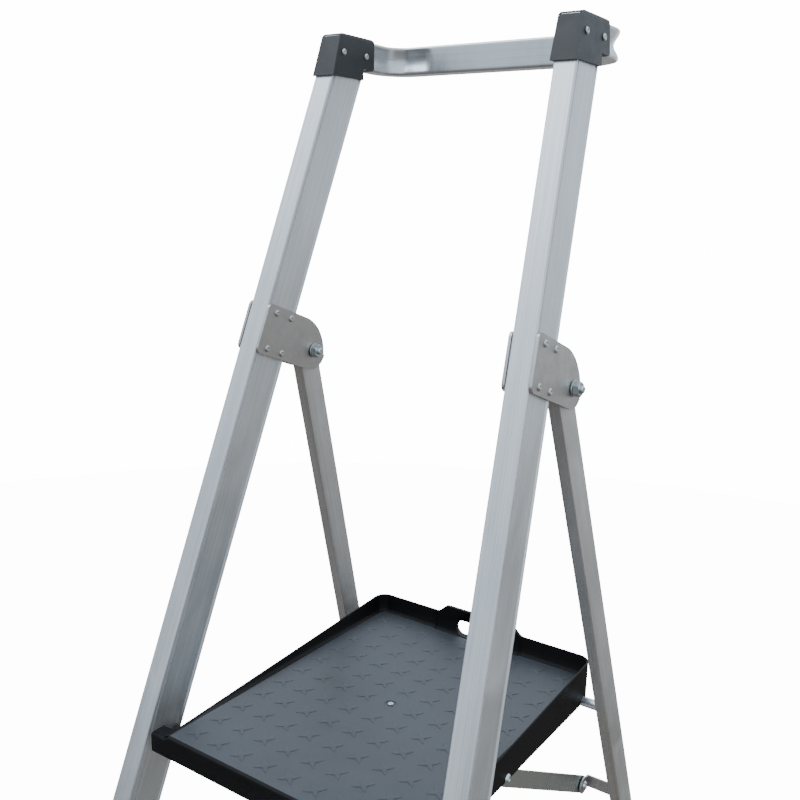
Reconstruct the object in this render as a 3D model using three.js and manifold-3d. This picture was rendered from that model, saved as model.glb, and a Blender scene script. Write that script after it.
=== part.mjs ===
// Folding platform step ladder with a guard rail. Millimetres, +Z up, the user climbs towards +Y.
// Everything is laid out from the platform: z = 0 is its floor, y = 0 is where the stile centre line
// crosses that level. The last lines move the ladder so that it stands on z = 0 around the origin.
import * as THREE from 'three';
import { mergeVertices } from 'three/addons/utils/BufferGeometryUtils.js';
import Module from 'manifold-3d';

const wasm = await Module();
wasm.setup();
const { Manifold, Mesh: Soup } = wasm;

// ---------------------------------------------------------------- driving dimensions
const PLATFORM_HEIGHT = 950;
const STEPS = 4;                                   // three treads and the platform
const RISE = PLATFORM_HEIGHT / STEPS;
const GAP = 0.3;                                   // assembly clearance between pieces

const STILE = { spacing: 480, taper: 0.07, lean: 0.351, wide: 30, deep: 62, wall: 2.2, lip: 3.3, groove: 4.2, cut: 2, web: .9 };
const STILE_TOP = 874.4;
const LEG = { wide: 18, deep: 40, wall: 1.8, splay: 0.067, lean: 0.336, above: 20 };
const PIVOT = { u: 84, v: 541.4, plate: 4, boltR: 5 };
const SHOE = { wall: 3, sole: 8, height: 48 };

const TRAY = {
  inner: 190.9, outer: 196.8, front: -36.9, back: 462.7, wall: 5.9, sheet: 1.6, floor: 3,
  skirt: -34.6, rimFront: -2.8, rimBack: 28.9, corner: 20,
};
const HANDLE = { top: 43.6, flat: 58, foot: 80, thick: 3.2, slotHalf: 39.5, slotLow: 0.8, slotHigh: 26 };
const AXLE = { y: 13.5, z: -31, r: 5 };
const REST_ROD = { y: 435.6, z: -30, r: 7.5 };
const STAY = { top: [196, -30.5], foot: [463, -188], wide: 27, endR: 12, x: 193.65, thick: 2.5, rivetR: 4 };
const RAIL = { low: 878.5, high: 917, thick: 28, start: 283, backY: 430, bendR: 38, wall: 1.8, corner: 3 };
const CAP_RIVETS = [[291, 896.7], [342.5, 896.7]];
const PLATE_RIVETS = [[-13, 574], [18, 574], [-13, 523.5], [18, 523.5]];

// ---------------------------------------------------------------- finishes
const finish = (color, metalness, roughness) => () => new THREE.MeshStandardMaterial({ color, metalness, roughness });
const millAluminium = finish(0xb9c0c6, 0.9, 0.42);
const darkAluminium = finish(0x8f918f, 0.9, 0.45);
const zincSteel = finish(0x9ba0a2, 0.9, 0.35);
const blackPlastic = finish(0x2b2d2f, 0.0, 0.55);
const mouldedTray = finish(0x232427, 0.0, 0.45);
const rubber = finish(0x1b1b1c, 0.0, 0.85);

// ---------------------------------------------------------------- building blocks
const V = (x, y, z) => new THREE.Vector3(x, y, z);
const group = new THREE.Group();
group.name = 'platform_step_ladder';

function add(name, geometry, material) {
  const mesh = new THREE.Mesh(geometry, material());
  mesh.name = name;
  group.add(mesh);
}

function solid(geometry) {
  const bare = geometry.clone();
  bare.deleteAttribute('normal');
  bare.deleteAttribute('uv');
  const g = mergeVertices(bare, 1e-4);
  return new Manifold(new Soup({
    numProp: 3,
    vertProperties: new Float32Array(g.attributes.position.array),
    triVerts: new Uint32Array(g.index.array),
  }));
}

function surface(body) {
  const m = body.getMesh();
  const g = new THREE.BufferGeometry();
  g.setAttribute('position', new THREE.BufferAttribute(new Float32Array(m.vertProperties), 3));
  g.setIndex(new THREE.BufferAttribute(new Uint32Array(m.triVerts), 1));
  const flat = g.toNonIndexed();
  flat.computeVertexNormals();
  return flat;
}

// an outline of [x, y] corners pulled out from z = 0 to z = length
function prism(outline, length, holes = []) {
  const shape = outline instanceof THREE.Shape ? outline : new THREE.Shape(outline.map(([x, y]) => new THREE.Vector2(x, y)));
  for (const hole of holes) shape.holes.push(new THREE.Path(hole.map(([x, y]) => new THREE.Vector2(x, y))));
  return new THREE.ExtrudeGeometry(shape, { depth: length, bevelEnabled: false, curveSegments: 5 });
}

// a prism whose outline is given in [y, z] and whose length runs from x0 to x1
function across(outline, x0, x1, holes = []) {
  const g = prism(outline, x1 - x0, holes);
  g.applyMatrix4(new THREE.Matrix4().makeBasis(V(0, 1, 0), V(0, 0, 1), V(1, 0, 0)));
  return g.translate(x0, 0, 0);
}

function block(x0, x1, y0, y1, z0, z1) {
  return new THREE.BoxGeometry(x1 - x0, y1 - y0, z1 - z0).translate((x0 + x1) / 2, (y0 + y1) / 2, (z0 + z1) / 2);
}

function arc(cx, cy, r, from, to, steps) {
  return Array.from({ length: steps + 1 }, (_, i) => {
    const a = THREE.MathUtils.degToRad(from + (to - from) * i / steps);
    return [cx + r * Math.cos(a), cy + r * Math.sin(a)];
  });
}

function rounded(w, h, r, steps = 3) {
  const a = w / 2 - r, b = h / 2 - r;
  return [...arc(a, b, r, 0, 90, steps), ...arc(-a, b, r, 90, 180, steps),
    ...arc(-a, -b, r, 180, 270, steps), ...arc(a, -b, r, 270, 360, steps)];
}

// a turned piece: [radius, position] pairs about the local Z axis, closed on the axis or as a ring
function turned(profile, segments = 20) {
  const g = new THREE.LatheGeometry([...profile, profile[0]].map(([r, z]) => new THREE.Vector2(r, z)), segments);
  return g.applyMatrix4(new THREE.Matrix4().makeBasis(V(1, 0, 0), V(0, 0, 1), V(0, -1, 0)));
}

function rod(r, from, to, segments = 20) {
  const length = from.distanceTo(to);
  const g = new THREE.CylinderGeometry(r, r, length, segments).rotateX(Math.PI / 2).translate(0, 0, length / 2);
  return g.applyMatrix4(aim(from, to.clone().sub(from).normalize()));
}

// local Z along the axis, local X kept as near to world Z as it can be
function aim(origin, axis) {
  const x = V(0, 0, 1).addScaledVector(axis, -axis.z);
  if (x.lengthSq() < 1e-6) x.set(1, 0, 0);
  x.normalize();
  return new THREE.Matrix4().makeBasis(x, V(0, 0, 0).crossVectors(axis, x), axis).setPosition(origin);
}

// a blind rivet's head, with the hollow its mandrel leaves in the middle
const domeHead = (r, h, at, sign) => [[r, at], [r * 0.94, at + sign * h * 0.4], [r * 0.68, at + sign * h],
  [r * 0.4, at + sign * h], [r * 0.3, at + sign * h * 0.35], [0, at + sign * h * 0.3]];

// a rivet with a dome at each end; the heads sit against z = -half and z = +half
function throughRivet(shankR, headR, headH, half) {
  return turned([...domeHead(headR, headH, -half, -1).reverse(), [shankR, -half],
    [shankR, half], ...domeHead(headR, headH, half, 1)], 14);
}

// ---------------------------------------------------------------- where the slanted members run
const unit = (x, y, z) => V(x, y, z).normalize();

// a member's own frame: e across it, n through its depth towards the rear, d upwards along it
function memberFrame(origin, d) {
  const e = V(1, 0, 0).addScaledVector(d, -d.x).normalize();
  const n = V(0, 0, 0).crossVectors(d, e);
  return { origin, e, n, d };
}
const stileFrame = (s) => memberFrame(V(s * STILE.spacing / 2, 0, 0), unit(-s * STILE.taper, STILE.lean, 1));
const at = (f, e, n, d) => f.origin.clone().addScaledVector(f.e, e).addScaledVector(f.n, n).addScaledVector(f.d, d);
const inFrame = (f, d = 0) => new THREE.Matrix4().makeBasis(f.e, f.n, f.d).setPosition(at(f, 0, 0, d));

const hingePoint = (s) => at(stileFrame(s), 0, PIVOT.u, PIVOT.v);
const legFrame = (s) => memberFrame(hingePoint(s), unit(-s * LEG.splay, -LEG.lean, 1));

// x of the clear space up to the inner face of a right-hand member at a given y and z
function insideX(f, half, y, z) {
  return f.origin.x - (half + GAP + f.e.y * (y - f.origin.y) + f.e.z * (z - f.origin.z)) / f.e.x;
}
const stileInside = (y, z) => insideX(stileFrame(1), STILE.wide / 2, y, z);
const legInside = (y, z) => insideX(legFrame(1), LEG.wide / 2, y, z);

const above = (z) => solid(block(-900, 900, -1500, 1500, z, z + 3000));
const below = (z) => solid(block(-900, 900, -1500, 1500, z - 3000, z));

// ---------------------------------------------------------------- stiles, shoes, legs
function stileOutline(clear = 0) {
  const w = STILE.wide / 2 + clear, d = STILE.deep / 2 + clear, i = clear ? w : w - STILE.web;
  const edge = STILE.deep / 2 - STILE.lip, web = edge - STILE.groove, c = 2, g = w - STILE.cut;
  const face = clear ? [] : [[w, -edge], [g, -edge + 2.2], [g, -web - 0.2], [i, -web], [i, web], [g, web + 0.2],
    [g, edge - 2.2], [w, edge]];
  const right = [[w - c, -d], [w - 0.6, -d + 0.6], [w, -d + c], ...face, [w, d - c], [w - 0.6, d - 0.6], [w - c, d]];
  const left = right.map(([x, y]) => [-x, -y]);
  return [...right, ...left];
}

function legOutline(clear = 0) {
  return rounded(LEG.wide + 2 * clear, LEG.deep + 2 * clear, 2.5, 2);
}

for (const [s, side] of [[-1, 'left'], [1, 'right']]) {
  const f = stileFrame(s);
  const low = -PLATFORM_HEIGHT + SHOE.sole;
  const bore = rounded(STILE.wide - 2 * (STILE.wall + STILE.cut) + 0.8, STILE.deep - 2 * STILE.wall, 1.5, 1).reverse();
  let stile = solid(prism(stileOutline(), 2100, [bore]).applyMatrix4(inFrame(f, -1080)));
  stile = stile.subtract(above(STILE_TOP)).subtract(below(low));
  for (const [u, v] of PLATE_RIVETS) {
    stile = stile.subtract(solid(rod(2.6, at(f, -30, u, v), at(f, 30, u, v), 12)));
  }
  stile = stile.subtract(solid(rod(AXLE.r + 0.15, V(s * 215, AXLE.y, AXLE.z), V(s * 242, AXLE.y, AXLE.z))));
  add(`stile_${side}`, surface(stile), millAluminium);

  // shoe: a pocket pushed over the end, its sole cut level with the ground
  const pocketTop = low + SHOE.height;
  const shoeOuter = rounded(STILE.wide + 2 * SHOE.wall + 1, STILE.deep + 2 * SHOE.wall + 1, 5, 3);
  let shoe = solid(prism(shoeOuter, 400).applyMatrix4(inFrame(f, -1200)));
  shoe = shoe.subtract(below(-PLATFORM_HEIGHT)).subtract(above(pocketTop));
  const plug = solid(prism(stileOutline(GAP), 600).applyMatrix4(inFrame(f, -1200))).subtract(below(low - GAP));
  add(`front_foot_${side}`, surface(shoe.subtract(plug)), rubber);

  const g = legFrame(s);
  const legBore = rounded(LEG.wide - 2 * LEG.wall, LEG.deep - 2 * LEG.wall, 1, 1).reverse();
  let leg = solid(prism(legOutline(), 1700, [legBore]).applyMatrix4(inFrame(g, LEG.above - 1700))).subtract(below(low));
  const hinge = hingePoint(s);
  leg = leg.subtract(solid(rod(8.2, V(hinge.x - 20, hinge.y, hinge.z), V(hinge.x + 20, hinge.y, hinge.z))));
  const rodEnd = s * (legInside(REST_ROD.y, REST_ROD.z) + 8);
  leg = leg.subtract(solid(rod(REST_ROD.r + 0.2, V(rodEnd - s * 30, REST_ROD.y, REST_ROD.z),
    V(rodEnd, REST_ROD.y, REST_ROD.z))));
  add(`rear_leg_${side}`, surface(leg), darkAluminium);

  const rearOuter = rounded(LEG.wide + 2 * SHOE.wall + 1, LEG.deep + 2 * SHOE.wall + 1, 4, 3);
  let rearShoe = solid(prism(rearOuter, 400).applyMatrix4(inFrame(g, -1700)));
  rearShoe = rearShoe.subtract(below(-PLATFORM_HEIGHT)).subtract(above(pocketTop - 6));
  const rearPlug = solid(prism(legOutline(GAP), 600).applyMatrix4(inFrame(g, -1800))).subtract(below(low - GAP));
  add(`rear_foot_${side}`, surface(rearShoe.subtract(rearPlug)), rubber);
}

// ---------------------------------------------------------------- treads and rear braces
// moves the ends of a crosspiece so that they follow the slanted members they meet
function fitEnds(geometry, half, insideAt) {
  const p = geometry.attributes.position;
  for (let i = 0; i < p.count; i++) {
    if (Math.abs(Math.abs(p.getX(i)) - half) < 0.01) p.setX(i, Math.sign(p.getX(i)) * insideAt(p.getY(i), p.getZ(i)));
  }
  return geometry;
}

function treadOutline(yc, top) {
  const ribs = 9, pitch = 8, deep = 80, thick = 25, rib = 1.2;
  const y0 = yc - 42, outline = [[y0, top - thick + 2], [y0 + 2, top - thick], [y0 + 6, top - thick],
    [y0 + 6, top - 4], [y0 + deep - 6, top - 4], [y0 + deep - 6, top - thick], [y0 + deep - 2, top - thick],
    [y0 + deep, top - thick + 2], [y0 + deep, top - rib]];
  for (let i = ribs - 1; i >= 0; i--) {
    const y = y0 + (deep - (ribs - 1) * pitch) / 2 + i * pitch;
    outline.push([y + 2.6, top - rib], [y + 2, top], [y - 2, top], [y - 2.6, top - rib]);
  }
  outline.push([y0, top - rib]);
  return outline;
}

for (let i = 1; i < STEPS; i++) {
  const top = -i * RISE;
  const g = across(treadOutline(STILE.lean * (top - 12), top), -300, 300);
  add(`tread_${STEPS - i}`, fitEnds(g, 300, stileInside), millAluminium);
}

const legY = (z) => hingePoint(1).y + LEG.lean * (hingePoint(1).z - z);
for (const [name, z] of [['rear_brace_upper', -400], ['rear_brace_lower', -790]]) {
  const channel = [[0, -20], [16, -20], [16, -17.6], [2.4, -17.6], [2.4, 17.6], [16, 17.6], [16, 20], [0, 20]];
  const g = across(channel.map(([y, h]) => [legY(z) - 8 + y, z + h]), -300, 300);
  add(name, fitEnds(g, 300, legInside), darkAluminium);
}

// ---------------------------------------------------------------- hinge plates and their pivots
const plateOutline = [
  ...arc(-24, 521.5, 7.5, 180, 270, 3), [86, 514], ...arc(PIVOT.u, PIVOT.v, 27.4, -82, 0, 7),
  ...arc(49, 520, 64, 20, 86, 8), ...arc(-24.5, 577, 7, 90, 180, 3),
];

for (const [s, side] of [[-1, 'left'], [1, 'right']]) {
  const f = stileFrame(s);
  const hinge = hingePoint(s);
  const bore = solid(rod(PIVOT.boltR + 0.6, V(hinge.x - 30, hinge.y, hinge.z), V(hinge.x + 30, hinge.y, hinge.z)));
  for (const [face, where] of [[s, 'outer'], [-s, 'inner']]) {
    const near = STILE.wide / 2 + 0.15;
    const from = face > 0 ? near : -near - PIVOT.plate;
    // the plate's own outline lies in the depth and length directions of the stile
    const lay = new THREE.Matrix4().makeBasis(f.n, f.d, f.e).setPosition(at(f, from, 0, 0));
    let plate = solid(prism(plateOutline, PIVOT.plate).applyMatrix4(lay)).subtract(bore);
    for (const [u, v] of PLATE_RIVETS) {
      plate = plate.subtract(solid(rod(2.6, at(f, -30, u, v), at(f, 30, u, v), 12)));
    }
    add(`hinge_plate_${side}_${where}`, surface(plate), zincSteel);
  }
  PLATE_RIVETS.forEach(([u, v], i) => {
    const g = throughRivet(2.4, 4.9, 2.1, STILE.wide / 2 + PIVOT.plate + 0.3);
    add(`plate_rivet_${side}_${i + 1}`, g.applyMatrix4(aim(at(f, 0, u, v), f.e)), zincSteel);
  });

  // bolt, bush, washer and nut on the hinge axis; the nut is on the +X side of both hinges
  const outside = STILE.wide / 2 + PIVOT.plate + 1.4;
  const onAxis = aim(hinge, V(1, 0, 0));
  const head = solid(prism(arc(0, 0, 9.4, 0, 300, 5), 6.4).translate(0, 0, -outside - 6.4));
  const shank = solid(turned([[0, -outside - 0.5], [PIVOT.boltR, -outside - 0.5], [PIVOT.boltR, outside + 12],
    [PIVOT.boltR - 1, outside + 13.2], [0, outside + 13.2]]));
  add(`pivot_bolt_${side}`, surface(head.add(shank)).applyMatrix4(onAxis), zincSteel);
  add(`pivot_washer_${side}`, turned([[5.3, outside], [10.5, outside], [10.5, outside + 1.6],
    [5.3, outside + 1.6]]).applyMatrix4(onAxis), zincSteel);
  const nut = solid(prism(arc(0, 0, 9.8, 0, 300, 5), 7.6).translate(0, 0, outside + 1.9))
    .intersect(solid(turned([[0, outside + 1.5], [8.6, outside + 1.5], [10.2, outside + 2.9], [10.2, outside + 8.4],
      [8.6, outside + 9.8], [0, outside + 9.8]])))
    .subtract(solid(turned([[0, outside], [PIVOT.boltR + 0.15, outside], [PIVOT.boltR + 0.15, outside + 14],
      [0, outside + 14]])));
  add(`pivot_nut_${side}`, surface(nut).applyMatrix4(onAxis), zincSteel);
  add(`pivot_bush_${side}`, turned([[PIVOT.boltR + 0.08, -13.6], [12.5, -13.6], [12.5, -10.2], [8, -10.2],
    [8, 10.2], [12.5, 10.2], [12.5, 13.6], [PIVOT.boltR + 0.08, 13.6]]).applyMatrix4(onAxis), blackPlastic);
}

// ---------------------------------------------------------------- end caps and the top rail
const CAP = { low: 863.5, half: 18, draft: 0.0386, lean: 0.035, shoulder: 916.5, round: 5 };
const capOutline = [[267, CAP.low], [336.5, CAP.low], [336.5, 874], ...arc(339, 876.5, 2.5, 180, 90, 2), [357.5, 877.5],
  [361.5, 880.5], ...arc(356.5, 915.5, 5, 0, 90, 3), ...arc(289.5, 912.5, 8, 90, 158, 3)];
const capX = (z) => STILE.spacing / 2 - STILE.taper * z;

// the cap seen from the front: drafted sides that follow half the stile's lean, rounded along the top
function capFront(s) {
  const side = (z, k) => s * (capX(CAP.low) - CAP.lean * (z - CAP.low)) + k * (CAP.half - CAP.draft * (z - CAP.low));
  const low = CAP.low - 5, r = CAP.round, top = CAP.shoulder;
  const outline = [[side(low, -1), low], [side(low, 1), low], ...arc(side(top, 1) - r, top, r, 0, 90, 3),
    ...arc(side(top, -1) + r, top, r, 90, 180, 3)];
  const turn = new THREE.Matrix4().makeBasis(V(1, 0, 0), V(0, 0, 1), V(0, -1, 0)).setPosition(0, 380, 0);
  return prism(outline, 130).applyMatrix4(turn);
}

const railX = capX((RAIL.low + RAIL.high) / 2);
function railPath() {
  const path = new THREE.CurvePath();
  const r = RAIL.bendR, end = RAIL.backY;
  const turn = (cx, from, to) => {
    const pts = arc(cx, end - r, r, from, to, 8).map(([x, y]) => V(x, y, 0));
    for (let i = 1; i < pts.length; i++) path.add(new THREE.LineCurve3(pts[i - 1], pts[i]));
  };
  path.add(new THREE.LineCurve3(V(-railX, RAIL.start, 0), V(-railX, end - r, 0)));
  turn(-railX + r, 180, 90);
  path.add(new THREE.LineCurve3(V(-railX + r, end, 0), V(railX - r, end, 0)));
  turn(railX - r, 90, 0);
  path.add(new THREE.LineCurve3(V(railX, end - r, 0), V(railX, RAIL.start, 0)));
  return path.curves;
}

// a band that follows the rail's path in plan, width wide, from z0 to z1
function band(width, z0, z1, reach) {
  const points = railPath().map((c) => c.v1);
  points.push(railPath().at(-1).v2);
  points[0].y -= reach;
  points.at(-1).y -= reach;
  const side = (k) => points.map((p, i) => {
    const before = points[Math.max(i - 1, 0)], after = points[Math.min(i + 1, points.length - 1)];
    const a = p.clone().sub(before).normalize(), b = after.clone().sub(p).normalize();
    const t = a.lengthSq() < 1e-9 ? b : b.lengthSq() < 1e-9 ? a : a.clone().add(b).normalize();
    const stretch = 1 / Math.max(t.dot(a.lengthSq() < 1e-9 ? b : a), 0.5);
    return [p.x - t.y * k * width / 2 * stretch, p.y + t.x * k * width / 2 * stretch];
  });
  return prism([...side(-1), ...side(1).reverse()], z1 - z0).translate(0, 0, z0);
}

const railOuter = solid(band(RAIL.thick, RAIL.low, RAIL.high, 0));
const railBore = solid(band(RAIL.thick - 2 * RAIL.wall, RAIL.low + RAIL.wall, RAIL.high - RAIL.wall, 5));
let topRail = railOuter.subtract(railBore);

for (const [s, side] of [[-1, 'left'], [1, 'right']]) {
  const f = stileFrame(s);
  let cap = solid(across(capOutline, s * 180 - 30, s * 180 + 30)).intersect(solid(capFront(s)));
  const stilePlug = solid(prism(stileOutline(GAP), 400).applyMatrix4(inFrame(f, 800))).subtract(above(STILE_TOP + GAP));
  const railPlug = solid(block(s * railX - RAIL.thick / 2 - GAP, s * railX + RAIL.thick / 2 + GAP,
    RAIL.start - GAP, 400, RAIL.low - GAP, RAIL.high + GAP));
  cap = cap.subtract(stilePlug).subtract(railPlug);
  CAP_RIVETS.forEach(([y, z], i) => {
    const middle = V(s * (capX(CAP.low) - CAP.lean * (z - CAP.low)), y, z);
    const hole = solid(rod(3.2, middle.clone().addScaledVector(f.e, -30), middle.clone().addScaledVector(f.e, 30), 16));
    cap = cap.subtract(hole);
    topRail = topRail.subtract(hole);
    const g = throughRivet(2.9, 4.6, 1.8, 17.3).applyMatrix4(aim(middle, f.e));
    add(`cap_rivet_${side}_${i === 0 ? 'front' : 'rear'}`, g, zincSteel);
  });
  add(`cap_${side}`, surface(cap), blackPlastic);
}
add('top_rail', surface(topRail), millAluminium);

// ---------------------------------------------------------------- platform tray
const rimTop = (y) => TRAY.rimFront + (TRAY.rimBack - TRAY.rimFront) * y / TRAY.back;

function plan(half, front, back, r) {
  return [[-half, front], [half, front], ...arc(half - r, back - r, r, 0, 90, 5), ...arc(-half + r, back - r, r, 90, 180, 5)];
}

function trayBody() {
  const t = TRAY;
  const raise = (outline, z0, z1) => solid(prism(outline, z1 - z0).translate(0, 0, z0));
  // what lies above the rim's slope is cut away
  const overRim = (drop, x0, x1) => solid(across([[t.front - 50, rimTop(t.front - 50) - drop],
    [t.back + 50, rimTop(t.back + 50) - drop], [t.back + 50, 400], [t.front - 50, 400]], x0, x1));

  let body = raise(plan(t.outer, t.front, t.back, t.corner), t.skirt, 60).subtract(overRim(0, -300, 300));
  body = body.add(solid(block(-t.inner, t.inner, t.front, t.back - t.wall, t.skirt, 0)));
  // handle: the rear rim rises in the middle and is thicker on the inside
  const h = HANDLE;
  const bump = [[-h.foot, 20], [h.foot, 20], [h.foot, t.rimBack - 0.5], [h.foot - 9, h.top - 11], [h.flat, h.top],
    [-h.flat, h.top], [-h.foot + 9, h.top - 11], [-h.foot, t.rimBack - 0.5]];
  const raised = prism(bump, t.wall).rotateX(Math.PI / 2).translate(0, t.back, 0);
  body = body.add(solid(raised));
  let room = raise(plan(t.inner, t.front - 10, t.back - t.wall, t.corner - t.wall), 0, 120);
  room = room.subtract(solid(block(-78, 78, t.back - t.wall - h.thick, t.back, -5, 130)));
  body = body.subtract(room);

  // hollow underside, open below; the doubled side walls leave a channel for the stay bars
  body = body.subtract(raise(plan(t.outer - t.sheet, t.front + t.floor, t.back - t.floor, t.corner - t.floor), t.skirt - 10, -t.floor));
  for (const s of [-1, 1]) {
    const x0 = s > 0 ? t.inner + 1.2 : -t.outer + t.sheet, x1 = s > 0 ? t.outer - t.sheet : -t.inner - 1.2;
    const channel = solid(block(x0, x1, 60, 438, t.skirt, 60)).subtract(overRim(t.sheet, x0 - 1, x1 + 1));
    body = body.subtract(channel);
    // front ear, hollow below, and the lug that carries the axle
    const ear = solid(block(s > 0 ? t.outer - 1 : -221, s > 0 ? 221 : -t.outer + 1, t.front, -12, t.skirt + 2.2, -3));
    const earHollow = solid(block(s > 0 ? t.outer : -218.6, s > 0 ? 218.6 : -t.outer, t.front + 2.4, -14.4, t.skirt - 5, -5.4));
    body = body.add(ear.subtract(earHollow));
    const lug = solid(rod(10.5, V(s * (t.outer - 4), AXLE.y, AXLE.z), V(s * (t.outer + 2), AXLE.y, AXLE.z)));
    body = body.add(lug.subtract(solid(block(-300, 300, -100, 100, -t.floor - 1, 60))));
    const pin = STAY.top;
    body = body.subtract(solid(rod(4.2, V(s * (t.outer - 3), pin[0], pin[1]), V(s * (t.outer + 5), pin[0], pin[1]))));
  }
  body = body.subtract(solid(rod(AXLE.r + 0.08, V(-260, AXLE.y, AXLE.z), V(260, AXLE.y, AXLE.z), 32)));

  // hand hole through the rear wall
  const slotR = (h.slotHigh - h.slotLow) / 2, slotZ = (h.slotHigh + h.slotLow) / 2;
  const slot = [...arc(h.slotHalf - slotR, slotZ, slotR, -90, 90, 8), ...arc(-h.slotHalf + slotR, slotZ, slotR, 90, 270, 8)];
  body = body.subtract(solid(prism(slot, 30).rotateX(Math.PI / 2).translate(0, t.back + 10, 0)));

  // notches that drop over the rest rod, flared towards the front so that the rod can leave
  const r = REST_ROD.r + 0.5;
  const notch = [[REST_ROD.y + r, t.skirt - 8], ...arc(REST_ROD.y, REST_ROD.z, r, 0, 180, 10), [REST_ROD.y - r - 5, t.skirt - 1],
    [REST_ROD.y - r - 8, t.skirt - 8]];
  body = body.subtract(solid(across(notch, -260, 260)));

  // recess for the centre rivet
  body = body.subtract(solid(turned([[0, -0.8], [8.5, -0.8], [8.5, 5], [0, 5]], 32).translate(0, 211, 0)));
  body = body.subtract(solid(turned([[0, -9], [3.1, -9], [3.1, 5], [0, 5]], 20).translate(0, 211, 0)));
  return body;
}
add('platform_tray', surface(trayBody()), mouldedTray);

// hat-shaped stiffener under the floor and the rivet that holds it
const hat = [[-22, 0], [-22, -2], [-9, -2], [-7, -12], [7, -12], [9, -2], [22, -2], [22, 0], [7, 0], [5, -10], [-5, -10],
  [-7, 0]];
let stiffener = solid(across(hat.map(([y, z]) => [211 + y, -TRAY.floor - GAP + z]), -184, 184));
stiffener = stiffener.add(solid(block(-18, 18, 203, 219, -TRAY.floor - GAP - 2, -TRAY.floor - GAP)));
stiffener = stiffener.subtract(solid(turned([[0, -9], [3.1, -9], [3.1, 5], [0, 5]], 20).translate(0, 211, 0)));
add('platform_stiffener', surface(stiffener), zincSteel);
add('platform_rivet', turned([[0, -8.2], [4, -8.2], [4.6, -5.7], [2.9, -5.7], [2.9, -0.6], [4.2, -0.6], [4.1, 0.4],
  [3.2, 1.2], [1.6, 1.6], [0, 1.7]], 20).translate(0, 211, 0), zincSteel);

// the platform turns on this axle, whose ends sit in the stiles
const axleEnd = stileInside(AXLE.y, AXLE.z) + 10;
add('platform_axle', rod(AXLE.r, V(-axleEnd, AXLE.y, AXLE.z), V(axleEnd, AXLE.y, AXLE.z), 32), zincSteel);
for (const [s, side] of [[-1, 'left'], [1, 'right']]) {
  const x0 = TRAY.outer + 2.6, x1 = stileInside(AXLE.y, AXLE.z) - 1;
  const g = turned([[AXLE.r + 0.15, x0], [9, x0], [9, x1], [AXLE.r + 0.15, x1]]).applyMatrix4(aim(V(0, AXLE.y, AXLE.z), V(s, 0, 0)));
  add(`axle_spacer_${side}`, g, blackPlastic);
}

// ---------------------------------------------------------------- rest rod, stays and their brackets
const restEnd = legInside(REST_ROD.y, REST_ROD.z) + 7;
add('platform_rest_rod', rod(REST_ROD.r, V(-restEnd, REST_ROD.y, REST_ROD.z), V(restEnd, REST_ROD.y, REST_ROD.z), 28), zincSteel);

for (const [s, side] of [[-1, 'left'], [1, 'right']]) {
  const [ty, tz] = STAY.top, [fy, fz] = STAY.foot;
  const along = THREE.MathUtils.radToDeg(Math.atan2(tz - fz, ty - fy));
  const outline = [...arc(fy, fz, STAY.wide / 2, along + 90, along + 270, 12), ...arc(ty, tz, STAY.endR, along - 90, along + 90, 12)];
  const x0 = s * STAY.x - STAY.thick / 2;
  let bar = solid(across(outline, x0, x0 + STAY.thick));
  bar = bar.subtract(solid(rod(STAY.rivetR + 0.15, V(x0 - 5, fy, fz), V(x0 + 10, fy, fz), 20)));
  bar = bar.subtract(solid(rod(4.1, V(x0 - 5, ty, tz), V(x0 + 10, ty, tz), 20)));
  add(`stay_bar_${side}`, surface(bar), zincSteel);

  // everything on the stay's pivots is turned outwards along the axis
  const outwards = (y, z) => aim(V(0, y, z), V(s, 0, 0));
  const o = TRAY.outer;
  add(`stay_pin_${side}`, turned([[0, o - TRAY.sheet + 0.1], [4, o - TRAY.sheet + 0.1], [4, o + 0.2],
    ...domeHead(7, 3.2, o + 0.2, 1)]).applyMatrix4(outwards(ty, tz)), zincSteel);
  const face = STAY.x + STAY.thick / 2;
  add(`stay_washer_${side}`, turned([[4.3, face + 0.25], [9.5, face + 0.25], [9.5, face + 1.25], [4.3, face + 1.25]])
    .applyMatrix4(outwards(fy, fz)), blackPlastic);
  const eyeIn = face + 1.5, eyeOut = eyeIn + 3;
  const inner = STAY.x - STAY.thick / 2 - 0.3;
  add(`stay_rivet_${side}`, turned([...domeHead(6.5, 2, inner, -1).reverse(), [STAY.rivetR, inner], [STAY.rivetR, eyeOut + 0.2],
    ...domeHead(7.5, 3.4, eyeOut + 0.2, 1)], 20).applyMatrix4(outwards(fy, fz)), zincSteel);

  // Z-shaped bracket: eye flange, a crosswise web and a flange on the leg's inner face
  const legFace = legInside(fy + 40, fz) - 0.9;
  const zed = [[eyeIn, fy - 2], [eyeOut, fy - 2], [eyeOut, fy + 14], [legFace, fy + 14], [legFace, fy + 40], [legFace - 3, fy + 40],
    [legFace - 3, fy + 17], [eyeIn, fy + 17]].map(([x, y]) => [s * x, y]);
  let bracket = solid(prism(s > 0 ? zed : zed.reverse(), 20).translate(0, 0, fz - 10));
  const ring = (r, a, b) => solid(rod(r, V(s * a, fy, fz), V(s * b, fy, fz), 20));
  bracket = bracket.add(ring(13.5, eyeIn, eyeOut)).subtract(ring(STAY.rivetR + 0.15, eyeIn - 4, eyeOut + 4));
  add(`stay_bracket_${side}`, surface(bracket), zincSteel);
}

// ---------------------------------------------------------------- stand the ladder on the ground
const extent = new THREE.Box3().setFromObject(group);
const middleY = (extent.min.y + extent.max.y) / 2;
for (const mesh of group.children) mesh.geometry.translate(0, -middleY, PLATFORM_HEIGHT);

export default group;
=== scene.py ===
import bpy
import bmesh
import math
from mathutils import Matrix, Vector


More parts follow.
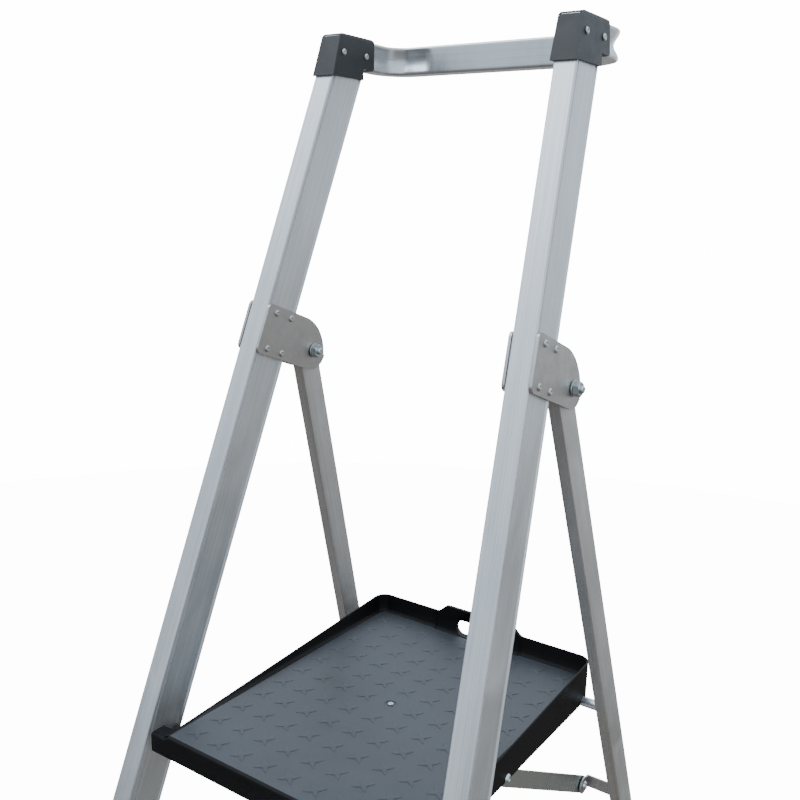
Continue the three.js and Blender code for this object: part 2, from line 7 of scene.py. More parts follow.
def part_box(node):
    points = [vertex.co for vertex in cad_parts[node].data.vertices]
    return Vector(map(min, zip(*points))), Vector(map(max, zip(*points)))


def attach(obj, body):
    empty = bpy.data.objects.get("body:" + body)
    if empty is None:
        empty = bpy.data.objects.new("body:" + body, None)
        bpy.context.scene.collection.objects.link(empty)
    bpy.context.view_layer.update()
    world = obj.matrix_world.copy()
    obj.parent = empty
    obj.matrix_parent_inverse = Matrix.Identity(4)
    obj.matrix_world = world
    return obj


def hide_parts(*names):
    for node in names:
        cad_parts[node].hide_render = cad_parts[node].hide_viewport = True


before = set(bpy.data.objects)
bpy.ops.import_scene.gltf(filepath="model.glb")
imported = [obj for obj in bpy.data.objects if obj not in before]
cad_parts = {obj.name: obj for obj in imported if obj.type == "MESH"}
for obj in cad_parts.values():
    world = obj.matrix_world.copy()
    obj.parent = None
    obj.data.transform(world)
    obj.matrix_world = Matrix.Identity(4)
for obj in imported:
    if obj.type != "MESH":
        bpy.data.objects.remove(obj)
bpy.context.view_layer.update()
print("frame loaded:", len(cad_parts), "nodes")

mm = 0.001

# the ladder is laid out from its platform: floor level and the line where the stiles cross it
layout = {
    "floorLevel": 950 * mm,
    "stileLine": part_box("platform_tray")[0].y + 36.9 * mm,
}


def at(x, y, z):
    # millimetres from the platform's floor centre line to the shared frame
    return Vector((x * mm, layout["stileLine"] + y * mm, layout["floorLevel"] + z * mm))


# materials
def fromHex(text):
    parts = [int(text[i:i + 2], 16) / 255 for i in (1, 3, 5)]
    return [c / 12.92 if c <= 0.04045 else ((c + 0.055) / 1.055) ** 2.4 for c in parts] + [1]


def addNode(tree, kind, settings=None, links=None):
    # settings are the node's own properties or its socket values; links give socket: (node, output)
    made = tree.nodes.new(kind)
    for key, value in (settings or {}).items():
        if isinstance(key, str) and hasattr(made, key):
            setattr(made, key, value)
        else:
            made.inputs[key].default_value = value
    for key, (source, output) in (links or {}).items():
        tree.links.new(source.outputs[output], made.inputs[key])
    return made


def newMaterial(name):
    made = bpy.data.materials.new(name)
    made.use_nodes = True
    made.node_tree.nodes.clear()
    return made, made.node_tree


def ramp(tree, source, output, stops):
    made = addNode(tree, "ShaderNodeValToRGB", links={"Fac": (source, output)})
    made.color_ramp.elements[0].position, made.color_ramp.elements[1].position = stops[0][0], stops[-1][0]
    made.color_ramp.elements[0].color, made.color_ramp.elements[1].color = fromHex(stops[0][1]), fromHex(stops[-1][1])
    for place, color in stops[1:-1]:
        made.color_ramp.elements.new(place).color = fromHex(color)
    return made


def span(tree, source, output, low, high):
    # stretches a 0 to 1 pattern over a range of values
    return addNode(tree, "ShaderNodeMapRange", {"From Min": 0.3, "From Max": 0.7, "To Min": low, "To Max": high},
                   {"Value": (source, output)})


def shaded(tree, made, settings, links):
    shader = addNode(tree, "ShaderNodeBsdfPrincipled", settings, links)
    addNode(tree, "ShaderNodeOutputMaterial", links={"Surface": (shader, "BSDF")})
    return made


def alongMember(tree, lean):
    # x is folded at the middle plane, so both sides of the ladder share one grain direction
    place = addNode(tree, "ShaderNodeTexCoord")
    split = addNode(tree, "ShaderNodeSeparateXYZ", links={0: (place, "Object")})
    side = addNode(tree, "ShaderNodeMath", {"operation": "ABSOLUTE"}, {0: (split, "X")})
    joined = addNode(tree, "ShaderNodeCombineXYZ", links={"X": (side, 0), "Y": (split, "Y"), "Z": (split, "Z")})
    return addNode(tree, "ShaderNodeMapping", {"vector_type": "POINT", "Rotation": lean}, {"Vector": (joined, 0)})


# mill-finish aluminium: straight off the extrusion press, so fine die lines run along it and
# the eye sees soft stretched reflections with faint cloudy handling marks
def millAluminium(name, look):
    made, tree = newMaterial(name)
    grain = alongMember(tree, look["turn"])
    dieLines = addNode(tree, "ShaderNodeMapping", {"Scale": look["lineScale"]}, {"Vector": (grain, 0)})
    lines = addNode(tree, "ShaderNodeTexNoise", {"Scale": 1.0, "Detail": 3.0, "Roughness": 0.6},
                    {"Vector": (dieLines, 0)})
    cloudSize = addNode(tree, "ShaderNodeMapping", {"Scale": look["cloudScale"]}, {"Vector": (grain, 0)})
    clouds = addNode(tree, "ShaderNodeTexNoise", {"Scale": 1.0, "Detail": 4.0, "Roughness": 0.55, "Distortion": 0.4},
                     {"Vector": (cloudSize, 0)})
    tone = ramp(tree, clouds, "Fac", [(0.3, look["dull"]), (0.7, look["bright"])])
    streak = ramp(tree, lines, "Fac", [(0.25, look["streak"]), (0.7, "#ffffff")])
    color = addNode(tree, "ShaderNodeMix", {"data_type": "RGBA", "blend_type": "MULTIPLY", 0: look["streakAmount"]},
                    {6: (tone, "Color"), 7: (streak, "Color")})
    rough = span(tree, clouds, "Fac", look["rough"][0], look["rough"][1])
    relief = addNode(tree, "ShaderNodeBump", {"Strength": look["relief"], "Distance": 0.05 * mm},
                     {"Height": (lines, "Fac")})
    return shaded(tree, made, {"Metallic": 0.86, "Anisotropic": 0.35},
                  {"Base Color": (color, 2), "Roughness": (rough, 0), "Normal": (relief, 0)})


perMetre = 1000  # die lines about 1.2 mm apart across, about 300 mm long; clouds about 60 mm
stileLook = {
    "turn": (math.radians(19.3), math.radians(3.8), 0), "lineScale": (0.8 * perMetre, 0.8 * perMetre, 3.0),
    "cloudScale": (18, 18, 6), "bright": "#dfe2e4", "dull": "#cfd2d4", "streak": "#cfd2d5", "streakAmount": 0.6,
    "rough": (0.42, 0.54), "relief": 0.1,
}
legLook = {**stileLook, "turn": (math.radians(-18.6), math.radians(3.6), 0), "bright": "#d6d5d4", "dull": "#c4c3c1",
           "rough": (0.44, 0.56)}
levelLook = {**stileLook, "turn": (0, math.radians(90), 0)}
stileMetal = millAluminium("mill-finish aluminium stile", stileLook)
legMetal = millAluminium("mill-finish aluminium leg", legLook)
treadMetal = millAluminium("mill-finish aluminium tread", levelLook)


# bent rail of the same aluminium: its lines follow the bend, so only rings of cloud and a soft sheen are kept
railLook = {**levelLook, "lineScale": (2.0, 60, 0.8 * perMetre), "turn": (0, 0, 0), "bright": "#d8dbde",
            "dull": "#c6cacd", "rough": (0.24, 0.36), "relief": 0.08}
railMetal = millAluminium("mill-finish aluminium rail", railLook)


# zinc-plated steel: bright barrel plating, a slightly blue mottled skin over a pressed blank
def zincPlated(name, look):
    made, tree = newMaterial(name)
    place = addNode(tree, "ShaderNodeTexCoord")
    mottle = addNode(tree, "ShaderNodeTexNoise", {"Scale": look["mottle"], "Detail": 5.0, "Roughness": 0.6},
                     {"Vector": (place, "Object")})
    scuff = addNode(tree, "ShaderNodeTexNoise", {"Scale": look["scuff"], "Detail": 2.0}, {"Vector": (place, "Object")})
    tone = ramp(tree, mottle, "Fac", [(0.3, look["dull"]), (0.7, look["bright"])])
    rough = span(tree, mottle, "Fac", look["rough"][1], look["rough"][0])
    relief = addNode(tree, "ShaderNodeBump", {"Strength": 0.2, "Distance": 0.04 * mm}, {"Height": (scuff, "Fac")})
    return shaded(tree, made, {"Metallic": 1.0},
                  {"Base Color": (tone, "Color"), "Roughness": (rough, 0), "Normal": (relief, 0)})


# mottling about 20 mm across on the plates and 6 mm on fasteners, scuffs about 0.8 mm
plateMetal = zincPlated("tumbled steel plate", {
    "mottle": 50, "scuff": 1200, "bright": "#bdbab8", "dull": "#aba8a5", "rough": (0.36, 0.48),
})
fastenerMetal = zincPlated("zinc-plated steel fastener", {
    "mottle": 160, "scuff": 2500, "bright": "#d2dcdf", "dull": "#b7c3c7", "rough": (0.16, 0.28),
})
stayMetal = zincPlated("zinc-plated steel strip", {
    "mottle": 35, "scuff": 1500, "bright": "#c6cfce", "dull": "#b5bebd", "rough": (0.24, 0.38),
})
rodMetal = zincPlated("zinc-plated steel rod", {
    "mottle": 40, "scuff": 1500, "bright": "#e0e3ea", "dull": "#cdd1d8", "rough": (0.28, 0.4),
})
rivetMetal = zincPlated("aluminium blind rivet", {
    "mottle": 200, "scuff": 3000, "bright": "#c9c9c7", "dull": "#b0b0ae", "rough": (0.3, 0.42),
})


# injection-moulded polypropylene: carbon-black, with a fine spark-eroded grain that greys it at grazing angles
def mouldedPlastic(name, look):
    made, tree = newMaterial(name)
    place = addNode(tree, "ShaderNodeTexCoord")
    grain = addNode(tree, "ShaderNodeTexNoise", {"Scale": look["grain"], "Detail": 2.0, "Roughness": 0.5},
                    {"Vector": (place, "Object")})
    flow = addNode(tree, "ShaderNodeTexNoise",
                   {"Scale": look["flow"], "Detail": 4.0, "Roughness": 0.6, "Distortion": 0.6},
                   {"Vector": (place, "Object")})
    tone = ramp(tree, flow, "Fac", [(0.3, look["dark"]), (0.75, look["worn"])])
    rough = span(tree, flow, "Fac", look["rough"][0], look["rough"][1])
    relief = addNode(tree, "ShaderNodeBump", {"Strength": look["relief"], "Distance": 0.08 * mm},
                     {"Height": (grain, "Fac")})
    return shaded(tree, made, {"IOR": 1.49, "Specular IOR Level": look["gloss"]},
                  {"Base Color": (tone, "Color"), "Roughness": (rough, 0), "Normal": (relief, 0)})


# the grain is near 0.4 mm on the real moulding; it is drawn at 0.8 mm so that it still shows
capPlastic = mouldedPlastic("moulded polypropylene cap", {
    "grain": 1250, "flow": 30, "dark": "#0f1012", "worn": "#191b1e",
    "rough": (0.42, 0.52), "relief": 0.35, "gloss": 0.5,
})
trayPlastic = mouldedPlastic("moulded polypropylene wall", {
    "grain": 1250, "flow": 14, "dark": "#050506", "worn": "#0d0c0e",
    "rough": (0.46, 0.54), "relief": 0.25, "gloss": 0.16,
})
# the floor is the same plastic, given a grey base colour that is a painted reflection of the bright sky on its satin
# face, so it greys where the walls stay black
floorPlasticPaintedSheen = mouldedPlastic("moulded polypropylene floor, painted sheen", {
    "grain": 1250, "flow": 9, "dark": "#292c31", "worn": "#3b3f46",
    "rough": (0.46, 0.58), "relief": 0.3, "gloss": 0.6,
})
bushPlastic = mouldedPlastic("moulded nylon bush", {
    "grain": 2000, "flow": 60, "dark": "#161617", "worn": "#232325",
    "rough": (0.35, 0.45), "relief": 0.2, "gloss": 0.5,
})
shoeRubber = mouldedPlastic("moulded rubber shoe", {
    "grain": 900, "flow": 25, "dark": "#141415", "worn": "#29292b",
    "rough": (0.6, 0.78), "relief": 0.5, "gloss": 0.35,
})
print("materials ready")


# finish of the pieces that come with the frame
def finishNode(name, material, bevel, angle=32):
    # merges the triangles of flat faces, then breaks every sharp edge by the bevel in mm
    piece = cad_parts[name]
    piece.data.materials.clear()
    piece.data.materials.append(material)
    piece.data.polygons.foreach_set("use_smooth", [True] * len(piece.data.polygons))
    weld = piece.modifiers.new("weld", "WELD")
    weld.merge_threshold = 0.01 * mm
    flat = piece.modifiers.new("flatFaces", "DECIMATE")
    flat.decimate_type = "DISSOLVE"
    flat.angle_limit = math.radians(0.5)
    edge = piece.modifiers.new("brokenEdges", "BEVEL")
    edge.width = bevel * mm
    edge.segments = 2
    edge.limit_method = "ANGLE"
    edge.angle_limit = math.radians(angle)
    edge.use_clamp_overlap = True
    piece.modifiers.new("evenShading", "WEIGHTED_NORMAL")
    return piece


nodeFinish = {
    "stile": (stileMetal, 0.3, 18), "top_rail": (railMetal, 1.0), "tread": (treadMetal, 0.35),
    "rear_leg": (legMetal, 0.5), "rear_brace": (legMetal, 0.4),
    "cap_rivet": (rivetMetal, 0.2), "cap": (capPlastic, 1.0),
    "hinge_plate": (plateMetal, 1.3), "plate_rivet": (rivetMetal, 0.2),
    "pivot_bolt": (fastenerMetal, 0.4), "pivot_nut": (fastenerMetal, 0.3), "pivot_washer": (fastenerMetal, 0.3),
    "pivot_bush": (bushPlastic, 0.3), "axle_spacer": (bushPlastic, 0.3), "stay_washer": (bushPlastic, 0.2),
    "front_foot": (shoeRubber, 1.5), "rear_foot": (shoeRubber, 1.5),
    "platform_axle": (fastenerMetal, 0.5), "platform_rest_rod": (rodMetal, 0.8),
    "platform_tray": (trayPlastic, 0.8), "platform_stiffener": (stayMetal, 0.3), "platform_rivet": (rivetMetal, 0.2),
    "stay_bar": (stayMetal, 0.4), "stay_bracket": (plateMetal, 0.6), "stay_pin": (fastenerMetal, 0.3),
    "stay_rivet": (fastenerMetal, 0.3),
}
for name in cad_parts:
    kind = max((k for k in nodeFinish if name.startswith(k)), key=len)
    finishNode(name, *nodeFinish[kind])
print("nodes finished")


# helpers that make meshes
def fromFaces(name, points, faces, material, body, smooth=True):
    mesh = bpy.data.meshes.new(name)
    mesh.from_pydata([tuple(p) for p in points], [], faces)
    mesh.validate()
    tidy = bmesh.new()
    tidy.from_mesh(mesh)
    bmesh.ops.remove_doubles(tidy, verts=tidy.verts, dist=0.002 * mm)
    bmesh.ops.recalc_face_normals(tidy, faces=tidy.faces)
    tidy.to_mesh(mesh)
    tidy.free()
    mesh.polygons.foreach_set("use_smooth", [smooth] * len(mesh.polygons))
    piece = bpy.data.objects.new(name, mesh)
    piece.data.materials.append(material)
    bpy.context.scene.collection.objects.link(piece)
    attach(piece, body)
    return piece


def loft(sections, closedEnds=True):
    # joins equal rings of points into one skin
    count = len(sections[0])
    points = [p for ring in sections for p in ring]
    faces = []
    for i in range(len(sections) - 1):
        for j in range(count):
            k = (j + 1) % count
            faces.append((i * count + j, i * count + k, (i + 1) * count + k, (i + 1) * count + j))
    if closedEnds:
        faces.append(tuple(range(count))[::-1])
        faces.append(tuple((len(sections) - 1) * count + j for j in range(count)))
    return points, faces


def evenShading(piece):
    piece.modifiers.new("evenShading", "WEIGHTED_NORMAL")
    return piece


# top rail, its bends crushed by the former
rail = {
    "thick": 28, "tall": 38.5, "middle": 897.75, "startY": 283, "backY": 430, "bend": 38, "corner": 3.0,
    "ramp": 11, "tails": 40,
    "inward": 3.6,        # depth of the dimple the former presses into the inner wall
    "outward": 7.0,       # how far the outer wall falls in between its two edges
    "sideX": 240 - 0.07 * 897.75,      # the stiles' half spacing, less their taper at the rail's middle
}


def railSection(centre, sideways, inner, outer):
    # inner wall faces the user; both walls can be dished between their edges
    h, w, c = rail["tall"] / 2, rail["thick"] / 2, rail["corner"]
    ring = []
    corners = [(w - c, h - c, 0), (-w + c, h - c, 90), (-w + c, -h + c, 180), (w - c, -h + c, 270)]
    for x, z, start in corners:
        for k in range(4):
            a = math.radians(start + 30 * k)
            ring.append((x + c * math.cos(a), z + c * math.sin(a)))
        wall = {90: (-w, inner), 270: (w, outer)}.get(start)
        if wall:
            edge, depth = wall
            sign = 1 if edge < 0 else -1
            for k in range(1, 14):
                t = k / 14
                z1 = (h - c) * (1 - 2 * t) * (1 if start == 90 else -1)
                ring.append((edge + sign * depth * math.sin(math.pi * t) ** (1.2 if start == 90 else 1.8), z1))
    return [centre + sideways * x * mm + Vector((0, 0, z * mm)) for x, z in ring]


def railPath():
    # centre line points with the outward direction and the share of crushing, left end to right end
    r, end, half = rail["bend"], rail["backY"], rail["sideX"]
    path = []
    for k in range(6):
        path.append(((-half, rail["startY"] + (end - r - rail["tails"] - rail["startY"]) * k / 5), (-1, 0), 0.0))
    for k in range(1, 37):
        t = k / 36
        length = r * math.pi / 2 + 2 * rail["tails"]
        s = t * length - rail["tails"]
        push = min(1, t * length / rail["ramp"], (1 - t) * length / rail["ramp"])
        push = push * push * (3 - 2 * push)
        if s < 0:
            path.append(((-half, end - r + s), (-1, 0), push))
        elif s > r * math.pi / 2:
            path.append(((-half + r + s - r * math.pi / 2, end), (0, 1), push))
        else:
            a = s / r
            path.append(((-half + r - r * math.cos(a), end - r + r * math.sin(a)), (-math.cos(a), math.sin(a)), push))
    path += [((x, end), (0, 1), 0.0) for x in range(-95, 1, 5)]
    mirrored = [((-x, y), (-u, v), push) for (x, y), (u, v), push in reversed(path[:-1])]
    return path + mirrored


sections = []
for (x, y), (u, v), push in railPath():
    sections.append(railSection(at(x, y, rail["middle"]), Vector((u, v, 0)),
                                rail["inward"] * push, rail["outward"] * push))
points, faces = loft(sections)
topRail = fromFaces("guardRail", points, faces, railMetal, "front_frame")
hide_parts("top_rail")
evenShading(topRail)
print("guard rail bent")


# platform tray
tray = {
    "outer": 196.8, "front": -36.9, "back": 462.7, "corner": 20, "skirt": -34.6, "rimFront": -2.8, "rimBack": 28.9,
    "rimWidth": 2.9, "draft": 5.9, "fillet": 10.5, "floor": 2.6, "sheet": 1.8,
    "handleTop": 43.6, "handleFlat": 58, "handleFoot": 80, "handleThick": 3.2,
}


def rimHeight(x, y):
    t = tray
    height = t["rimFront"] + (t["rimBack"] - t["rimFront"]) * y / t["back"]
    if y > t["back"] - 12:
        u = (t["handleFoot"] - abs(x)) / (t["handleFoot"] - t["handleFlat"])
        u = min(max(u, 0), 1)
        height += (t["handleTop"] - height) * (u * u * (3 - 2 * u))
    return height


def trayWallPath():
    # outer plan line from the front left corner round the back, with its outward direction
    t = tray
    start = t["front"] + 2.4
    sideSteps, cornerSteps = 24, 10
    length = t["back"] - t["corner"] - start
    path = [((-t["outer"], start + length * k / sideSteps), (-1, 0)) for k in range(sideSteps)]
    for k in range(cornerSteps + 1):
        a = math.radians(180 - 90 * k / cornerSteps)
        path.append(((-t["outer"] + t["corner"] + t["corner"] * math.cos(a),
                      t["back"] - t["corner"] + t["corner"] * math.sin(a)), (math.cos(a), math.sin(a))))
    stops = [-170, -150, -125, -100, -90, -85, -82, -80, -77, -74, -71, -68, -65, -62, -59, -56, -50, -42.5]
    leftStops = list(stops)
    stops += [-39.5 + 79 * k / 26 for k in range(27)]
    stops += [-x for x in reversed(leftStops)]
    path += [((x, t["back"]), (0, 1)) for x in stops]
    path += [((-x, y), (-u, v)) for (x, y), (u, v) in reversed(path[:sideSteps + cornerSteps + 1])]
    return path


def traySection(x, y, u, v, hole=None):
    # closed cross section: skirt, rim, drafted inner wall, fillet into the floor, underside
    t = tray
    top = rimHeight(x, y)
    thick = t["handleThick"] if y > t["back"] - 1 and abs(x) < 78 else 0
    tall = min(max((top + 1) / 7, 0), 1)
    inner = []
    for o, share in ((t["rimWidth"] + 0.9, 0.5), (t["rimWidth"] + 1.9, 0.16),
                     (t["draft"] + 1.2, 0.05), (t["draft"] + 2.6, 0.015)):
        level = max(top, 0) * share
        slope = (top - 0.9) * (1 - tall) * (t["fillet"] - o) / (t["fillet"] - t["rimWidth"])
        inner.append((o + thick, level * tall + slope))
    ring = [(0, t["skirt"] + 0.6), (0, min(top, 0) - 4), (0, top - 0.9), (0.3, top - 0.25), (0.9, top),
            (t["rimWidth"] - 0.9 + thick, top), (t["rimWidth"] - 0.3 + thick, top - 0.25),
            (t["rimWidth"] + thick, top - 0.9)]
    ring += inner
    ring += [(t["fillet"] + thick, 0), (t["fillet"] + thick, -t["floor"]), (t["sheet"] + 1.2, -t["floor"]),
             (t["sheet"], -t["floor"] - 1.4), (t["sheet"], t["skirt"] + 0.6), (t["sheet"] - 0.5, t["skirt"]),
             (0.5, t["skirt"])]
    return [at(x - u * o, y - v * o, z) for o, z in ring]


wall = [traySection(x, y, u, v) for (x, y), (u, v) in trayWallPath()]
points, faces = loft(wall)
trayWall = fromFaces("trayWall", points, faces, trayPlastic, "platform")


def cutWith(piece, cutter):
    # takes the cutter's space out of a piece for good
    step = piece.modifiers.new("cut", "BOOLEAN")
    step.operation = "DIFFERENCE"
    step.solver = "EXACT"
    step.object = cutter
    bpy.context.view_layer.update()
    result = bpy.data.meshes.new_from_object(piece.evaluated_get(bpy.context.evaluated_depsgraph_get()))
    piece.modifiers.remove(step)
    piece.data = result
    bpy.data.objects.remove(cutter)


def cutterFrom(points, faces):
    mesh = bpy.data.meshes.new("cutter")
    mesh.from_pydata([tuple(p) for p in points], [], faces)
    tidy = bmesh.new()
    tidy.from_mesh(mesh)
    bmesh.ops.recalc_face_normals(tidy, faces=tidy.faces)
    tidy.to_mesh(mesh)
    tidy.free()
    made = bpy.data.objects.new("cutter", mesh)
    bpy.context.scene.collection.objects.link(made)
    return made


def circle(cx, cy, r, start, end, count):
    return [(cx + r * math.cos(math.radians(start + (end - start) * k / count)),
             cy + r * math.sin(math.radians(start + (end - start) * k / count))) for k in range(count + 1)]


handHole = {"half": 39.5, "low": 0.8, "high": 26}
holeR = (handHole["high"] - handHole["low"]) / 2
holeZ = (handHole["high"] + handHole["low"]) / 2
outline = circle(handHole["half"] - holeR, holeZ, holeR, -90, 90, 16)
outline += circle(-handHole["half"] + holeR, holeZ, holeR, 90, 270, 16)
points, faces = loft([[at(x, y, z) for x, z in outline] for y in (tray["back"] - 30, tray["back"] + 20)])
cutWith(trayWall, cutterFrom(points, faces))

restNotch = {"y": 435.6, "z": -30, "r": 8.0}
n = restNotch
notch = [(n["y"] + n["r"], -45)] + circle(n["y"], n["z"], n["r"], 0, 180, 16)
notch += [(n["y"] - n["r"] - 5, -36), (n["y"] - n["r"] - 8, -45)]
points, faces = loft([[at(x, y, z) for y, z in notch] for x in (-260, 260)])
cutWith(trayWall, cutterFrom(points, faces))
evenShading(trayWall)

# floor sheet, with the lip rolled down in front of it and run on as an ear at each stile
floor = {"half": 186.4, "back": 452.4, "lipR": 4.0, "lipDrop": 32.4, "lipThick": 3.0, "earEnd": 218.5, "earBack": -14.5,
         "earTop": -5.2, "recess": (211, 8.5, 1.2)}


def floorPanel():
    f = floor
    half, back, front = f["half"] + 0.2, f["back"] + 0.2, tray["front"] + f["lipR"]
    profile = [(back, 0.0), (300, 0.0), (150, 0.0), (front, 0.0), (front, -tray["floor"]),
               (150, -tray["floor"]), (300, -tray["floor"]), (back, -tray["floor"])]
    return loft([[at(x, y, z) for y, z in profile] for x in (-half, -half / 2, 0, half / 2, half)])


def frontLip():
    f, front = floor, tray["front"]
    r, drop = f["lipR"], f["lipDrop"]
    heights = [(f["earEnd"], f["earTop"]), (tray["outer"], f["earTop"]), (tray["outer"] - 3, f["earTop"] + 0.3),
               (tray["outer"] - 7, -2.2), (f["half"] + 0.4, -0.25), (f["half"] - 2, 0), (120, 0), (60, 0), (0, 0)]
    heights = [(-x, z) for x, z in heights] + [(x, z) for x, z in reversed(heights[:-1])]
    rings = []
    for x, top in heights:
        profile = [(front + r + 0.3, top)]
        profile += [(front + r + r * math.cos(math.radians(a)), top - r + r * math.sin(math.radians(a)))
                    for a in range(90, 181, 15)]
        profile += [(front, -drop + 0.6), (front + 0.6, -drop), (front + f["lipThick"] - 0.6, -drop),
                    (front + f["lipThick"], -drop + 0.6), (front + f["lipThick"], top - 6.5),
                    (front + r + 0.3, top - tray["floor"])]
        rings.append([at(x, y, z) for y, z in profile])
    return loft(rings)


points, faces = floorPanel()
# the floor's grey base colour is a painted reflection (sheen) of the sky
trayFloor = fromFaces("trayFloor", points, faces, floorPlasticPaintedSheen, "platform")
recessY, recessR, recessDeep = floor["recess"]
outline = circle(0, recessY, recessR, 0, 354, 59)
points, faces = loft([[at(x, y, z) for x, y in outline] for z in (-recessDeep, 3)])
cutWith(trayFloor, cutterFrom(points, faces))
evenShading(trayFloor)

points, faces = frontLip()
evenShading(fromFaces("trayLip", points, faces, trayPlastic, "platform"))
for side, name in ((-1, "trayEarLeft"), (1, "trayEarRight")):
    f = floor
    outline = [(tray["front"] + f["lipR"], f["earTop"]), (f["earBack"], f["earTop"]),
               (f["earBack"] + 0.4, f["earTop"] - 0.4), (f["earBack"] + 0.4, f["earTop"] - 2.6),
               (tray["front"] + f["lipR"], f["earTop"] - 2.6)]
    points, faces = loft([[at(side * x, y, z) for y, z in outline] for x in (tray["outer"] - 0.5, f["earEnd"])])
    fromFaces(name, points, faces, trayPlastic, "platform", smooth=False)

stars = {"across": 40.7, "along": 43.0, "columns": 9, "rows": 11, "firstRow": -6.5, "tip": 14.8, "waist": 5.0,
         "height": 1.0, "edge": 0.75, "skirt": 0.55, "clear": 15}


def starRelief():
    # four-armed stars with hollow sides, each a low ridge that falls from its centre to its tips
    points, faces = [], []
    for i in range(stars["columns"]):
        for j in range(stars["rows"]):
            cx = (i - (stars["columns"] - 1) / 2) * stars["across"]
            cy = stars["firstRow"] + j * stars["along"]
            if math.hypot(cx, cy - recessY) < stars["clear"]:
                continue        # room for the rivet's recess
            ring, low = [], []
            for k in range(32):
                a = math.radians(k * 11.25)
                near = abs(((k * 11.25 + 45) % 90) - 45) / 45      # 0 on an arm, 1 between two arms
                r = stars["waist"] + (stars["tip"] - stars["waist"]) * (1 - near) ** 2.2
                turn = a + math.radians(45)
                ring.append((cx + r * math.cos(turn), cy + r * math.sin(turn), stars["edge"] * (0.45 + 0.55 * near)))
                outer = r + stars["skirt"]
                low.append((cx + outer * math.cos(turn), cy + outer * math.sin(turn), -0.3))
            base = len(points)
            points += [at(*p) for p in ring] + [at(*p) for p in low] + [at(cx, cy, stars["height"]), at(cx, cy, -0.6)]
            for k in range(32):
                m = (k + 1) % 32
                faces.append((base + k, base + m, base + 64))
                faces.append((base + 32 + k, base + 32 + m, base + m, base + k))
                faces.append((base + 32 + m, base + 32 + k, base + 65))
    return points, faces


points, faces = starRelief()
# the stars share the floor's grey base colour, a painted reflection (sheen)
fromFaces("trayStars", points, faces, floorPlasticPaintedSheen, "platform", smooth=False)
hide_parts("platform_tray")
print("tray moulded")


# stage, lights and camera
def stageSweep():
    # pale floor that curves up all round into a wall, so it closes the view from every side
    stage = studio["stage"]
    profile = [(0.5 * stage["flat"], stage["low"]), (stage["flat"], stage["low"])]
    for k in range(1, 19):
        a = math.radians(5 * k)
        profile.append((stage["flat"] + stage["curve"] * math.sin(a),
                        stage["low"] + stage["curve"] * (1 - math.cos(a))))
    profile.append((stage["flat"] + stage["curve"], stage["wall"]))
    rings = [[(r * math.cos(math.radians(6 * k)), r * math.sin(math.radians(6 * k)), z) for k in range(60)]
             for r, z in profile]
    points, faces = loft(rings, closedEnds=False)
    faces.append(tuple(range(60)))
    mesh = bpy.data.meshes.new("studioSweep")
    mesh.from_pydata(points, [], faces)
    mesh.polygons.foreach_set("use_smooth", [True] * len(mesh.polygons))
    made, tree = newMaterial("matt studio paper")
    place = addNode(tree, "ShaderNodeTexCoord")
    mottle = addNode(tree, "ShaderNodeTexNoise", {"Scale": 3.0, "Detail": 2.0}, {"Vector": (place, "Object")})
    tone = ramp(tree, mottle, "Fac", [(0.3, "#f7f7f7"), (0.7, "#fbfbfb")])
    shaded(tree, made, {"Roughness": 0.9, "Emission Color": (1, 1, 1, 1), "Emission Strength": studio["paperGlow"]},
           {"Base Color": (tone, "Color")})
    sweep = bpy.data.objects.new("studioSweep", mesh)
    sweep.data.materials.append(made)
    sweep.visible_glossy = False
    sweep.visible_diffuse = False
    sweep.visible_shadow = False
    bpy.context.scene.collection.objects.link(sweep)


studio = {
    "stage": {"flat": 9, "curve": 4, "low": -0.0005, "wall": 16},
    "paperGlow": 14,
    "skyStrength": 1.5,
    "rearGlow": 0.3,     # the sky behind and to the left is brighter, it lies in the tray's reflection
    "key": {"place": (-1.6, -1.6, 4.6), "size": 3.0, "power": 80, "color": "#eef6ff"},
    "fill": {"place": (3.4, 0.5, 1.3), "size": 3.0, "power": 17, "color": "#fdfaf6"},
    "back": {"place": (0.1, 4.2, 1.4), "size": 2.4, "power": 24, "color": "#f4f8ff"},
}


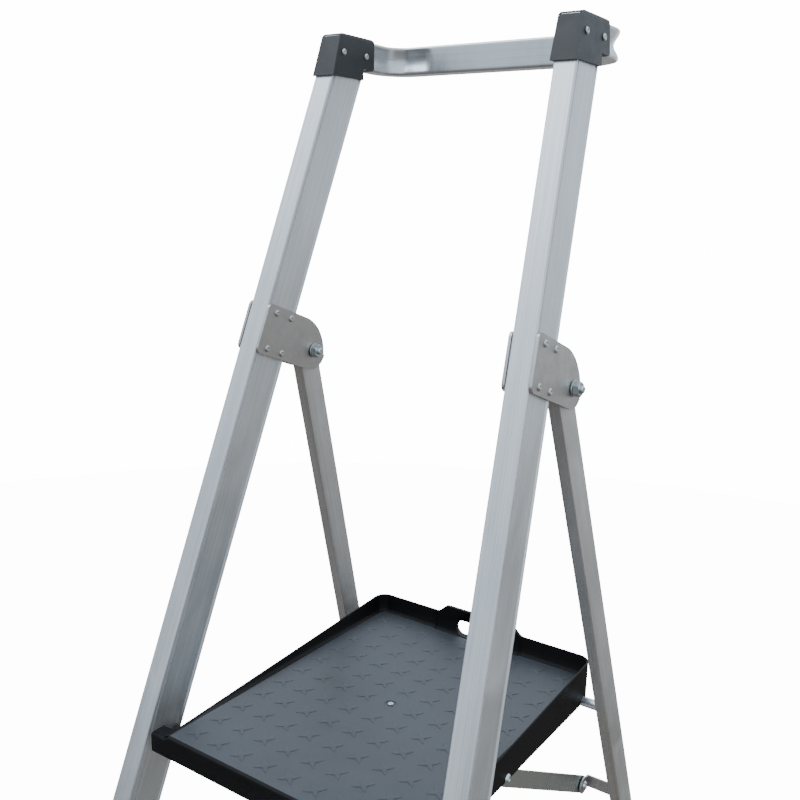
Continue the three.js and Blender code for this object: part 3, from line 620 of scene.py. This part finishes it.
def skyLight():
    world = bpy.data.worlds.new("studioAir")
    bpy.context.scene.world = world
    world.use_nodes = True
    tree = world.node_tree
    tree.nodes.clear()
    place = addNode(tree, "ShaderNodeTexCoord")
    split = addNode(tree, "ShaderNodeSeparateXYZ", links={0: (place, "Generated")})
    height = addNode(tree, "ShaderNodeMapRange", {"From Min": -0.5, "From Max": 0.7}, {"Value": (split, "Z")})
    rise = ramp(tree, height, 0, [(0.0, "#6f6b67"), (0.25, "#8b8b8b"), (0.42, "#a6b1bb"), (0.6, "#dcebf8"),
                                  (1.0, "#eaf5ff")])
    rear = addNode(tree, "ShaderNodeVectorMath", {"operation": "DOT_PRODUCT", 1: (-0.53, 0.75, 0.40)},
                   {0: (place, "Generated")})
    glow = addNode(tree, "ShaderNodeMapRange",
                   {"From Min": 0.3, "From Max": 1.0, "To Min": 1.0, "To Max": 1.0 + studio["rearGlow"]},
                   {"Value": (rear, 1)})
    tone = addNode(tree, "ShaderNodeVectorMath", {"operation": "SCALE"}, {0: (rise, "Color"), "Scale": (glow, 0)})
    air = addNode(tree, "ShaderNodeBackground", {"Strength": studio["skyStrength"]}, {"Color": (tone, 0)})
    addNode(tree, "ShaderNodeOutputWorld", links={"Surface": (air, 0)})


def softBox(name, look):
    data = bpy.data.lights.new(name, "AREA")
    data.shape, data.size, data.energy = "DISK", look["size"], look["power"]
    data.color = fromHex(look["color"])[:3]
    lamp = bpy.data.objects.new(name, data)
    lamp.location = look["place"]
    lamp.visible_camera = False
    aim = Vector((0, 0, 1.1)) - lamp.location
    lamp.rotation_euler = aim.to_track_quat("-Z", "Y").to_euler()
    bpy.context.scene.collection.objects.link(lamp)


stageSweep()
skyLight()
for name in ("key", "fill", "back"):
    softBox(name, studio[name])

view = {"turn": 34.66, "rise": 12.846, "roll": 1.48, "place": (675.6, -780.09, 704.72), "lens": 41.92,
        "shift": (0.0091, 0.0103)}


def makeCamera():
    a, e, r = (math.radians(view[k]) for k in ("turn", "rise", "roll"))
    back = Vector((math.sin(a) * math.cos(e), -math.cos(a) * math.cos(e), math.sin(e)))
    right = Vector((0, 0, 1)).cross(back).normalized()
    up = back.cross(right)
    level, tilt = right * math.cos(r) + up * math.sin(r), up * math.cos(r) - right * math.sin(r)
    data = bpy.data.cameras.new("viewCamera")
    data.sensor_width, data.lens = 36, view["lens"]
    data.shift_x, data.shift_y = view["shift"]
    data.clip_start, data.clip_end = 0.02, 60
    camera = bpy.data.objects.new("viewCamera", data)
    camera.matrix_world = Matrix.Translation(at(*view["place"])) @ Matrix((level, tilt, back)).transposed().to_4x4()
    bpy.context.scene.collection.objects.link(camera)
    bpy.context.scene.camera = camera


makeCamera()
print("stage, lights and camera set")
